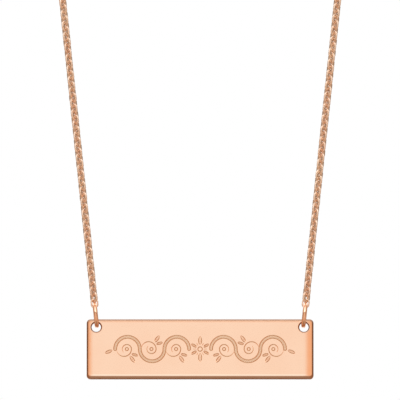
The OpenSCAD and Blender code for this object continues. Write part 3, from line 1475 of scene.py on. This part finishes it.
@dataclass(frozen=True)
class LinkTree:
    """The node tree that strings links along a line, one tree for every run.

    Attributes:
        name: The tree's name.
        lengths: Its inputs that are lengths, which are set in metres.
    """

    name: str = "string_of_links"
    lengths: tuple[str, ...] = ("Length", "Width", "Thickness", "Breadth")

    def build(self) -> bpy.types.GeometryNodeTree:
        """Builds the tree, or finds it if it is there.

        Returns:
            The tree.
        """
        if self.name in bpy.data.node_groups:
            return bpy.data.node_groups[self.name]
        tree = bpy.data.node_groups.new(self.name, "GeometryNodeTree")
        face = tree.interface
        face.new_socket("Geometry", in_out="INPUT", socket_type="NodeSocketGeometry")
        for name in ("Count", "Sections", "Sides", "Seed", "Parity"):
            face.new_socket(name, in_out="INPUT", socket_type="NodeSocketInt")
        for name in (*self.lengths, "Squareness", "Groove", "Slant", "Wobble"):
            face.new_socket(name, in_out="INPUT", socket_type="NodeSocketFloat")
        face.new_socket("Material", in_out="INPUT", socket_type="NodeSocketMaterial")
        face.new_socket("Geometry", in_out="OUTPUT", socket_type="NodeSocketGeometry")
        board = NodeBoard(tree)
        asked = board.add("NodeGroupInput").outputs
        bent = {"Curve": self.oval(board, asked), "Profile Curve": self.section(board, asked)}
        link = board.add("GeometryNodeCurveToMesh", bent).outputs[0]
        line = board.add("GeometryNodeMeshToCurve", {"Mesh": asked["Geometry"]}).outputs[0]
        along = {"Curve": line, "Count": asked["Count"]}
        spots = board.add("GeometryNodeCurveToPoints", along, mode="COUNT").outputs
        facing = self.facing(board, asked, spots["Tangent"])
        strung = {"Points": spots["Points"], "Instance": link, "Rotation": facing}
        strung = board.add("GeometryNodeInstanceOnPoints", strung).outputs[0]
        real = board.add("GeometryNodeRealizeInstances", {0: strung}).outputs[0]
        soft = board.add("GeometryNodeSetShadeSmooth", {0: real}).outputs[0]
        finish = {"Geometry": soft, "Material": asked["Material"]}
        dressed = board.add("GeometryNodeSetMaterial", finish).outputs[0]
        board.add("NodeGroupOutput", {0: dressed})
        return tree

    @staticmethod
    def oval(board: NodeBoard, asked: bpy.types.NodeOutputs) -> bpy.types.NodeSocket:
        """Draws the middle line of a link's wire: two half circles, moved apart along the run.

        Args:
            board: The tree under construction.
            asked: The tree's inputs.

        Returns:
            The line.
        """
        radius = board.math("DIVIDE", board.math("SUBTRACT", asked["Width"], asked["Thickness"]), 2.0)
        apart = board.math("DIVIDE", board.math("SUBTRACT", asked["Length"], asked["Width"]), 2.0)
        circle = {"Resolution": asked["Sections"], "Radius": radius}
        circle = board.add("GeometryNodeCurvePrimitiveCircle", circle, mode="RADIUS").outputs[0]
        half_step = board.math("DIVIDE", math.pi, asked["Sections"])
        spin = board.add("ShaderNodeCombineXYZ", {"Z": half_step}).outputs[0]
        turned = board.add("GeometryNodeTransform", {"Geometry": circle, "Rotation": spin}).outputs[0]
        place = board.add("GeometryNodeInputPosition").outputs[0]
        x = board.add("ShaderNodeSeparateXYZ", {0: place}).outputs["X"]
        shift = board.math("MULTIPLY", board.math("SIGN", x), apart)
        offset = board.add("ShaderNodeCombineXYZ", {"X": shift}).outputs[0]
        return board.add("GeometryNodeSetPosition", {"Geometry": turned, "Offset": offset}).outputs[0]

    def section(self, board: NodeBoard, asked: bpy.types.NodeOutputs) -> bpy.types.NodeSocket:
        """Draws the section of a link's wire: a flat strip with a groove along both broad faces.

        Args:
            board: The tree under construction.
            asked: The tree's inputs.

        Returns:
            The section's line.
        """
        circle = {"Resolution": asked["Sides"], "Radius": 1.0}
        circle = board.add("GeometryNodeCurvePrimitiveCircle", circle, mode="RADIUS").outputs[0]
        place = board.add("GeometryNodeInputPosition").outputs[0]
        corner = board.add("ShaderNodeSeparateXYZ", {0: place}).outputs
        thick = self.squared(board, corner["X"], asked["Squareness"], asked["Thickness"])
        broad = self.squared(board, corner["Y"], asked["Squareness"], asked["Breadth"])
        off_middle = board.math("MULTIPLY", board.math("ABSOLUTE", corner["Y"]), 2.0)
        near_middle = board.math("MAXIMUM", board.math("SUBTRACT", 1.0, off_middle), 0.0)
        dip = board.math("MULTIPLY", near_middle, asked["Groove"])
        thick = board.math("MULTIPLY", thick, board.math("SUBTRACT", 1.0, dip))
        spread = board.add("ShaderNodeCombineXYZ", {"X": broad, "Y": thick}).outputs[0]
        return board.add("GeometryNodeSetPosition", {"Geometry": circle, "Position": spread}).outputs[0]

    @staticmethod
    def squared(board: NodeBoard, value: object, squareness: object, size: object) -> bpy.types.NodeSocket:
        """Pushes one coordinate of a unit circle outwards and gives it its size.

        Args:
            board: The tree under construction.
            value: The coordinate, from -1 to 1.
            squareness: 1 keeps the circle, more flattens its sides.
            size: The whole size across.

        Returns:
            The new coordinate.
        """
        pushed = board.math("MULTIPLY", value, squareness)
        held = board.math("MAXIMUM", board.math("MINIMUM", pushed, 1.0), -1.0)
        return board.math("MULTIPLY", held, board.math("DIVIDE", size, 2.0))

    @staticmethod
    def facing(board: NodeBoard, asked: bpy.types.NodeOutputs, along: object) -> bpy.types.NodeSocket:
        """Turns each link along the run, slanted to and fro, with a little chance.

        Args:
            board: The tree under construction.
            asked: The tree's inputs.
            along: The run's direction at each link.

        Returns:
            The turn of each link.
        """
        axes = {0: along, 1: (0.0, 1.0, 0.0)}
        laid = board.add("FunctionNodeAxesToRotation", axes, primary_axis="X", secondary_axis="Y").outputs[0]
        number = board.math("ADD", board.add("GeometryNodeInputIndex").outputs[0], asked["Parity"])
        swap = board.math("SUBTRACT", 1.0, board.math("MULTIPLY", board.math("MODULO", number, 2.0), 2.0))
        bounds = {2: -1.0, 3: 1.0, "Seed": asked["Seed"]}
        chance = board.add("FunctionNodeRandomValue", bounds, data_type="FLOAT").outputs[1]
        slant = board.math("MULTIPLY", swap, asked["Slant"])
        angle = board.math("ADD", slant, board.math("MULTIPLY", chance, asked["Wobble"]))
        about = board.add("FunctionNodeAxisAngleToRotation", {0: (1.0, 0.0, 0.0), 1: angle}).outputs[0]
        return board.add("FunctionNodeRotateRotation", {0: laid, 1: about}, rotation_space="LOCAL").outputs[0]


@dataclass(frozen=True)
class CableRun:
    """One run of cable chain: grooved links that alternate between two slants, and a larger link at each end.

    Attributes:
        loop: The necklace's sizes.
        side: Which run it is.
        strip: Thickness of the rolled wire that a link is bent from.
        breadth: Breadth of that wire.
        pitch: Distance between the middles of two links.
        slack: Play along the run between two links.
        side_slack: Play across a link's opening.
        slant: Turn of the links' planes about the run, in degrees, to and fro.
        squareness: How far the wire's section is pushed from an oval to a flat strip.
        groove: Depth of the groove along the wire's broad faces, as a share of its thickness.
        wobble: How far a link may lean from its slant by chance, in degrees.
        sections: Sections round a link.
        sides: Sides of its wire.
        end_sections: Sections round an end link.
        end_sides: Sides of its wire.
        path_steps: Steps of the run's line for each link.
    """

    loop: Loop
    side: Side
    strip: float = 0.33
    breadth: float = 0.52
    pitch: float = 0.869
    slack: float = 0.012
    side_slack: float = 0.03
    slant: float = 45.0
    squareness: float = 1.2
    groove: float = 0.9
    wobble: float = 4.0
    sections: int = 12
    sides: int = 8
    end_sections: int = 24
    end_sides: int = 10
    path_steps: int = 6

    @property
    def name(self) -> str:
        """The run's name."""
        return f"cable_links_{self.side.name.lower()}"

    def link_l(self, pitch: float) -> float:
        """Length of a link, outside, at a pitch."""
        return pitch + 2 * self.strip + self.slack

    def first_middle(self) -> float:
        """Distance from a ring's middle to the middle of the first plain link."""
        loop = self.loop
        hung = loop.end_start + loop.end_l - loop.link_wire - self.strip - self.slack / 2
        return hung + self.link_l(self.pitch) / 2

    def string(self, name: str, places: Sequence[Point], sizes: dict[str, object]) -> bpy.types.Object:
        """Strings links along a line of points.

        Args:
            name: The piece's name.
            places: The line, in millimetres.
            sizes: The tree's inputs by name, lengths in millimetres.

        Returns:
            The links, one plain mesh.
        """
        mesh = bpy.data.meshes.new(name)
        steps = [(i, i + 1) for i in range(len(places) - 1)]
        mesh.from_pydata([tuple(c * MM for c in p) for p in places], steps, [])
        piece = shown(mesh, name)
        kind = LinkTree()
        modifier = piece.modifiers.new("links", "NODES")
        modifier.node_group = kind.build()
        for item in modifier.node_group.interface.items_tree:
            if item.item_type == "SOCKET" and item.in_out == "INPUT" and item.name in sizes:
                value = sizes[item.name]
                modifier[item.identifier] = value * MM if item.name in kind.lengths else value
        made_plain(piece)
        turn_out(piece.data)
        return piece

    def plain_links(self, metal: bpy.types.Material) -> bpy.types.Object:
        """Strings the plain links between the two end links.

        Args:
            metal: Their material.

        Returns:
            The links. Their count is odd, so that both end links hang the same way.
        """
        first = self.first_middle()
        span = self.loop.run_total(self.side) - 2 * first
        count = 2 * round((span / self.pitch + 1) / 2 - 0.5) + 1
        steps = self.path_steps * count
        spots = [self.loop.along_run(self.side, first + span * i / steps) for i in range(steps + 1)]
        pitch = span / (count - 1)
        sizes = {
            "Count": count,
            "Sections": self.sections,
            "Sides": self.sides,
            "Seed": 5 + self.side.value,
            "Parity": 0,
            "Length": self.link_l(pitch),
            "Width": 2 * self.strip + self.breadth + self.side_slack,
            "Thickness": self.strip,
            "Breadth": self.breadth,
            "Squareness": self.squareness,
            "Groove": self.groove,
            "Slant": math.radians(self.slant) * self.side.value,
            "Wobble": math.radians(self.wobble),
            "Material": metal,
        }
        LOG.info("%s: %d links at %.4f mm", self.name, count, pitch)
        return self.string(self.name, [(x, 0.0, z) for x, z in spots], sizes)

    def end_link(self, at: float, metal: bpy.types.Material) -> bpy.types.Object:
        """Makes an end link.

        Args:
            at: Place of its middle along the run.
            metal: Its material.

        Returns:
            The link.
        """
        loop = self.loop
        spots = [loop.along_run(self.side, at + off) for off in (-0.01, 0.01)]
        sizes = {
            "Count": 1,
            "Sections": self.end_sections,
            "Sides": self.end_sides,
            "Parity": 1,
            "Length": loop.end_l,
            "Width": loop.end_w,
            "Thickness": loop.link_wire,
            "Breadth": loop.link_wire,
            "Squareness": 1.0,
            "Groove": 0.0,
            "Slant": math.radians(loop.end_turn) * self.side.value,
            "Wobble": 0.0,
            "Material": metal,
        }
        return self.string(f"{self.name}_end", [(x, 0.0, z) for x, z in spots], sizes)

    def build(self, metal: bpy.types.Material) -> bpy.types.Object:
        """Builds the run.

        Args:
            metal: Its material.

        Returns:
            Its object.
        """
        run = self.plain_links(metal)
        reach = self.loop.end_start + self.loop.end_l / 2
        ends = [self.end_link(at, metal) for at in (reach, self.loop.run_total(self.side) - reach)]
        return placed(joined(run, ends), Body.CHAIN, Slot.CHAIN, f"chain_{self.side.name.lower()}")


@dataclass(frozen=True)
class SpringRing:
    """The clasp: a sleeve of tube, a bolt that closes its gap, a thumb knob and a soldered eye.

    Attributes:
        loop: The necklace's sizes.
        gap_from: Angle where the bolt comes out of the sleeve, in degrees from +X.
        gap_to: Angle where it goes in again.
        bolt: Diameter of the bolt.
        bolt_in: How far the bolt runs into the sleeve at each end, in degrees.
        bolt_steps: Sections along the bolt.
        lip: Length of the sleeve's rounded mouth, in degrees.
        knob_at: Angle of the thumb knob.
        knob_h: Height of the knob.
        knob_d: Diameter of the knob.
        sides: Sides of the tube and of the bolt.
        steps: Sections along the sleeve.
        sharp: Angle from which an edge is shown sharp, in degrees.
    """

    loop: Loop
    gap_from: float = 62.0
    gap_to: float = 118.0
    bolt: float = 0.78
    bolt_in: float = 4.0
    bolt_steps: int = 24
    lip: float = 1.6
    knob_at: float = 45.0
    knob_h: float = 0.7
    knob_d: float = 0.7
    sides: int = 32
    steps: int = 96
    sharp: float = 50.0

    @property
    def centre(self) -> Vector:
        """The middle of the clasp's ring."""
        return Vector((0.0, 0.0, self.loop.row_z))

    @property
    def mean(self) -> float:
        """Mean radius of the clasp's ring."""
        return (self.loop.clasp_od - self.loop.clasp_tube) / 2

    def bent(self, shell: Shell, profile: Sequence[tuple[float, float]]) -> None:
        """Makes a round bar that is bent along the ring.

        Args:
            shell: The mesh to add to.
            profile: Angles round the ring, in degrees, and the bar's radius there.
        """
        rows = []
        front = Vector((0.0, -1.0, 0.0))
        for degrees, radius in profile:
            angle = math.radians(degrees)
            out = Vector((1.0, 0.0, 0.0)) * math.cos(angle) + Vector((0.0, 0.0, 1.0)) * math.sin(angle)
            rows.append(wire_section(self.centre, out, front, self.mean, radius, self.sides))
        shell.sweep(rows, False)

    def sleeve(self) -> list[tuple[float, float]]:
        """Angles and radii along the sleeve.

        Returns:
            The profile, with a rounded mouth at each end.
        """
        tube, lip = self.loop.clasp_tube / 2, self.lip
        start, end = self.gap_to + lip, self.gap_from + 360 - lip
        profile = [(self.gap_to, tube - 0.09), (self.gap_to + lip * 0.4, tube - 0.03), (start, tube)]
        profile += [(start + (end - start) * i / self.steps, tube) for i in range(1, self.steps)]
        return profile + [(end, tube), (end + lip * 0.6, tube - 0.03), (end + lip, tube - 0.09)]

    def knob(self) -> list[tuple[float, float]]:
        """Distance from the clasp's middle and radius, up the thumb knob.

        Returns:
            The rows.
        """
        top = self.mean + self.loop.clasp_tube / 2 + self.knob_h
        r = self.knob_d / 2
        rows = [(self.mean + 0.2, r * 0.72), (top - 0.34, r * 0.72), (top - 0.3, r * 0.95), (top - 0.26, r)]
        return rows + [(top - 0.14, r), (top - 0.06, r * 0.93), (top - 0.015, r * 0.7), (top, r * 0.3)]

    def solder(self) -> list[tuple[float, float]]:
        """Distance from the clasp's middle and radius, along the fillet of solder at the eye.

        Returns:
            The rows.
        """
        edge = self.mean + self.loop.clasp_tube / 2
        return [(edge - 0.3, 0.44), (edge - 0.1, 0.4), (edge, 0.33), (edge + 0.12, 0.28), (edge + 0.3, 0.2)]

    def lathe(
        self, shell: Shell, degrees: float, rows: Sequence[tuple[float, float]], sides: int = 24
    ) -> None:
        """Turns a profile round a spoke of the clasp.

        Args:
            shell: The mesh to add to.
            degrees: The spoke's angle from +X.
            rows: Distances along the spoke and radii.
            sides: Sides of what is turned.
        """
        angle = math.radians(degrees)
        out = Vector((math.cos(angle), 0.0, math.sin(angle)))
        side, front = Vector((-math.sin(angle), 0.0, math.cos(angle))), Vector((0.0, -1.0, 0.0))
        shell.sweep([wire_section(self.centre + out * d, side, front, 0.0, r, sides) for d, r in rows], False)

    def build(self, metal: bpy.types.Material) -> bpy.types.Object:
        """Builds the clasp.

        Args:
            metal: Its material.

        Returns:
            Its object.
        """
        shell = Shell()
        self.bent(shell, self.sleeve())
        start = self.gap_from - self.bolt_in
        sweep = self.gap_to - self.gap_from + 2 * self.bolt_in
        steps = range(self.bolt_steps + 1)
        self.bent(shell, [(start + sweep * i / self.bolt_steps, self.bolt / 2) for i in steps])
        eye = Ring(self.loop.eye_od, self.loop.eye_wire, 180.0, 20, 72)
        middle = Vector((self.loop.eye_x, 0.0, self.loop.row_z))
        shell.sweep(eye.rows(middle, Vector((1.0, 0.0, 0.0)), Vector((0.0, 0.0, 1.0))), True)
        self.lathe(shell, self.knob_at, self.knob())
        self.lathe(shell, 180.0, self.solder())
        mesh = shell.mesh("spring_ring_clasp")
        mesh.set_sharp_from_angle(angle=math.radians(self.sharp))
        clasp = shown(mesh, "spring_ring_clasp")
        clasp.data.materials.append(metal)
        return placed(clasp, Body.CHAIN, Slot.WIRE, "clasp")


Band = tuple[tuple[float, Colour], ...]
DARK: Colour = (0.34, 0.24, 0.18)
BROWN: Colour = (0.42, 0.31, 0.23)
ORANGE: Colour = (0.93, 0.62, 0.43)
GLOW: Colour = (0.78, 0.56, 0.42)
CARD: Colour = (1.1, 1.25, 1.35)
WHITE: Colour = (1.0, 1.0, 1.0)
LAMP: Colour = (1.7, 1.9, 2.1)
DIM_LAMP: Colour = (1.6, 1.7, 1.8)
CEILING: Colour = (0.9, 0.7, 0.55)
FAR_GLOW: Colour = (0.64, 0.5, 0.4)
FAR_WALL: Colour = (0.5, 0.4, 0.32)


@dataclass(frozen=True)
class Surround:
    """What the metal mirrors: upright bands of colour, by their height and by how far aside they stand.

    Each band is a row of heights, in degrees above the level, with the colour there.

    Attributes:
        middle: The band straight ahead.
        fade: The band beside it.
        flank: The band farther aside.
        side: The band at the far sides.
        aside: The line that the bands stand to each side of, as a share.
        strength: How bright the bands are.
        soft: How bright the even light on matt surfaces is.
    """

    middle: Band = (
        (-90, DARK),
        (-62, BROWN),
        (-50, (0.72, 0.5, 0.4)),
        (-30, CARD),
        (2, CARD),
        (5, WHITE),
        (10, WHITE),
        (15, (1.0, 0.8, 0.66)),
        (17, DARK),
        (19, DARK),
        (22, LAMP),
        (68, LAMP),
        (90, CEILING),
    )
    fade: Band = (
        (-90, DARK),
        (-50, GLOW),
        (-22, GLOW),
        (-12, ORANGE),
        (14, ORANGE),
        (16, DARK),
        (19, DARK),
        (22, LAMP),
        (68, LAMP),
        (90, CEILING),
    )
    flank: Band = (
        (-90, DARK),
        (-50, GLOW),
        (-20, GLOW),
        (2, (0.62, 0.42, 0.3)),
        (8, BROWN),
        (16, BROWN),
        (23, DIM_LAMP),
        (64, DIM_LAMP),
        (90, CEILING),
    )
    side: Band = (
        (-90, DARK),
        (-45, FAR_GLOW),
        (-14, FAR_GLOW),
        (-5, FAR_WALL),
        (18, FAR_WALL),
        (40, (0.68, 0.54, 0.44)),
        (90, CEILING),
    )
    aside: float = 0.025
    strength: float = 2.0
    soft: float = 0.95

    def mirrored(self, board: NodeBoard) -> bpy.types.NodeSocket:
        """Works out the colour that the metal mirrors in each direction.

        Args:
            board: The world's node tree.

        Returns:
            The colour.
        """
        ray = board.add("ShaderNodeTexCoord").outputs["Generated"]
        parts = board.add("ShaderNodeSeparateXYZ", {0: ray}).outputs
        x, z = parts["X"], parts["Z"]
        level = board.math("SQRT", board.math("SUBTRACT", 1.0, board.math("MULTIPLY", z, z), clamp=True))
        off = board.math("ABSOLUTE", board.math("ADD", x, self.aside))
        across = board.math("DIVIDE", off, board.math("MAXIMUM", level, 0.001))
        height = board.math("MULTIPLY_ADD", z, 0.5, 0.5)
        colour = self.band(board, height, self.middle)
        for stops, inner, outer in ((self.fade, 3, 9), (self.flank, 16, 25), (self.side, 44, 58)):
            beyond = board.smooth(across, math.sin(math.radians(inner)), math.sin(math.radians(outer)))
            colour = board.mix(beyond, colour, self.band(board, height, stops))
        return colour

    @staticmethod
    def band(board: NodeBoard, height: object, stops: Sequence[tuple[float, Colour]]) -> bpy.types.NodeSocket:
        """Draws one band, at half its brightness, because a ramp holds no colour above 1.

        Args:
            board: The world's node tree.
            height: Height of each direction, from 0 to 1.
            stops: The band's heights in degrees and colours.

        Returns:
            The colour.
        """
        halved = [
            (0.5 + 0.5 * math.sin(math.radians(e)), tuple(c / 2 for c in colour)) for e, colour in stops
        ]
        return board.ramp(height, halved)

    def build(self) -> None:
        """Builds the world: white where the camera looks, and the bands where the metal mirrors it."""
        world = bpy.data.worlds.new("studio")
        world.use_nodes = True
        world.node_tree.nodes.clear()
        bpy.context.scene.world = world
        board = NodeBoard(world.node_tree)
        white = (1.0, 1.0, 1.0, 1.0)
        lit = {"Color": self.mirrored(board), "Strength": self.strength}
        lit = board.add("ShaderNodeBackground", lit).outputs[0]
        soft = board.add("ShaderNodeBackground", {"Color": white, "Strength": self.soft}).outputs[0]
        plain = board.add("ShaderNodeBackground", {"Color": white}).outputs[0]
        path = board.add("ShaderNodeLightPath").outputs
        first = board.add("ShaderNodeMixShader", {0: path["Is Diffuse Ray"], 1: lit, 2: soft}).outputs[0]
        second = board.add("ShaderNodeMixShader", {0: path["Is Camera Ray"], 1: first, 2: plain}).outputs[0]
        board.add("ShaderNodeOutputWorld", {0: second})
        bpy.context.scene.view_settings.view_transform = "Standard"


@dataclass(frozen=True)
class Studio:
    """Camera, soft light, white surround and the pale floor.

    Attributes:
        loop: The necklace's sizes.
        distance: Distance of the camera from the bar.
        elevation: Height of the camera over the bar, in degrees. Below zero it stands lower and looks up.
        px: Millimetres per pixel of the picture at the bar.
        bar_px: Where the middle of the bar is in the picture.
        frame_px: Width and height of the picture.
        sensor: Width of the camera's sensor.
        floor_z: Height of the floor, in metres.
        floor_half: Half the width of the floor, in metres.
    """

    loop: Loop
    distance: float = 2400.0
    elevation: float = -8.0
    px: float = 0.1543
    bar_px: tuple[float, float] = (200.1, 349.45)
    frame_px: int = 400
    sensor: float = 36.0
    floor_z: float = -1.4
    floor_half: float = 20.0

    def camera(self) -> None:
        """Places the camera at the photograph's angle."""
        data = bpy.data.cameras.new("camera")
        data.sensor_width = self.sensor
        data.lens = self.sensor * self.distance / (self.px * self.frame_px)
        data.clip_start, data.clip_end = 0.01, 100.0
        camera = bpy.data.objects.new("camera", data)
        bpy.context.scene.collection.objects.link(camera)
        up = math.radians(-self.elevation)
        ahead = Vector((0.0, math.cos(up), math.sin(up)))
        above = Vector((0.0, -math.sin(up), math.cos(up)))
        right = Vector((1.0, 0.0, 0.0))
        dx = (self.bar_px[0] - self.frame_px / 2) * self.px
        dz = (self.frame_px / 2 - self.bar_px[1]) * self.px
        bar = Vector((0.0, 0.0, self.loop.plate_z))
        camera.location = (bar - ahead * self.distance - right * dx - above * dz) * MM
        camera.rotation_mode = "QUATERNION"
        camera.rotation_quaternion = ahead.to_track_quat("-Z", "Y")
        bpy.context.scene.camera = camera

    def key_light(self) -> None:
        """Hangs one large soft light above the front."""
        data = bpy.data.lights.new("key", "AREA")
        data.shape, data.size, data.energy = "DISK", 1.2, 14.0
        light = bpy.data.objects.new("key", data)
        light.location = (-0.7, -1.1, 1.2)
        aim = Vector((0.0, 0.0, -0.1)) - light.location
        light.rotation_mode = "QUATERNION"
        light.rotation_quaternion = aim.to_track_quat("-Z", "Y")
        light.visible_glossy = False
        light.visible_camera = False
        bpy.context.scene.collection.objects.link(light)

    def floor(self) -> None:
        """Lays the pale floor."""
        mesh = bpy.data.meshes.new("floor")
        half = self.floor_half
        corners = [(-half, -half, 0), (half, -half, 0), (half, half, 0), (-half, half, 0)]
        mesh.from_pydata(corners, [], [(0, 1, 2, 3)])
        mesh.transform(Matrix.Translation((0.0, 0.0, self.floor_z)))
        floor = shown(mesh, "floor")
        paint = bpy.data.materials.new("pale_floor")
        paint.use_nodes = True
        shader = paint.node_tree.nodes["Principled BSDF"]
        shader.inputs["Base Color"].default_value = (0.93, 0.93, 0.92, 1.0)
        shader.inputs["Roughness"].default_value = 0.9
        mesh.materials.append(paint)
        floor.visible_glossy = False

    def build(self) -> None:
        """Builds the whole studio."""
        self.camera()
        Surround().build()
        self.key_light()
        self.floor()


@dataclass(frozen=True)
class Finishes:
    """The materials of the necklace.

    Attributes:
        polished: The bar.
        matted: The floor of the stem between its lines.
        wire: The rings and the clasp.
        links: The chain, its colour painted paler to make up for the shade in its links.
    """

    polished: RoseGold = RoseGold(
        "polished_rose_gold",
        base=(0.985, 0.67, 0.48),
        deep=(0.975, 0.645, 0.455),
        roughness=0.07,
        haze=0.05,
        scratches=0.6,
        waviness=0.35,
        # The edge mark is painted shade: dark brown on the rounded edges, for the dark surroundings that they
        # mirror.
        marks=(Mark("cut", (0.64, 0.5, 0.37), 0.3), Mark("edge", (0.36, 0.18, 0.1), 0.25)),
    )
    matted: RoseGold = RoseGold(
        "matted_rose_gold",
        base=(0.83, 0.6, 0.42),
        deep=(0.8, 0.56, 0.38),
        roughness=0.3,
        haze=0.1,
        grain=3.0,
        bump=0.5,
        marks=(Mark("cut", (0.64, 0.5, 0.37), 0.3),),
    )
    wire: RoseGold = RoseGold(
        "drawn_rose_gold",
        base=(0.96, 0.6, 0.41),
        deep=(0.93, 0.54, 0.35),
        roughness=0.1,
        haze=0.08,
        grain=1.6,
    )
    # The chain's base colour is paler than the rest of the rose gold: painted light that makes up for the
    # shade in its grooved links. Its roughness is the tumbled finish.
    links: RoseGold = RoseGold(
        "tumbled_rose_gold_painted_light",
        base=(1.0, 0.8, 0.63),
        deep=(0.985, 0.73, 0.56),
        roughness=0.48,
        haze=0.1,
        grain=2.2,
    )


def main() -> None:
    """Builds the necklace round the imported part, and its studio."""
    logging.basicConfig(level=logging.INFO, format="%(name)s %(message)s")
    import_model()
    loop = Loop()
    Studio(loop).build()
    polish = PolishMarks().build()
    finishes = Finishes()
    polished, matted = finishes.polished.material(polish), finishes.matted.material(polish)
    wire, links = finishes.wire.material(polish), finishes.links.material(polish)

    pieces = [Nameplate(loop, Scroll(loop)).build(polished, matted)]
    pieces += SmallRings(loop).build(wire)
    pieces += [CableRun(loop, side).build(links) for side in Side]
    pieces.append(SpringRing(loop).build(wire))
    for piece in pieces:
        LOG.info("%s: %d points, %d faces", piece.name, len(piece.data.vertices), len(piece.data.polygons))


if __name__ == "__main__":
    main()
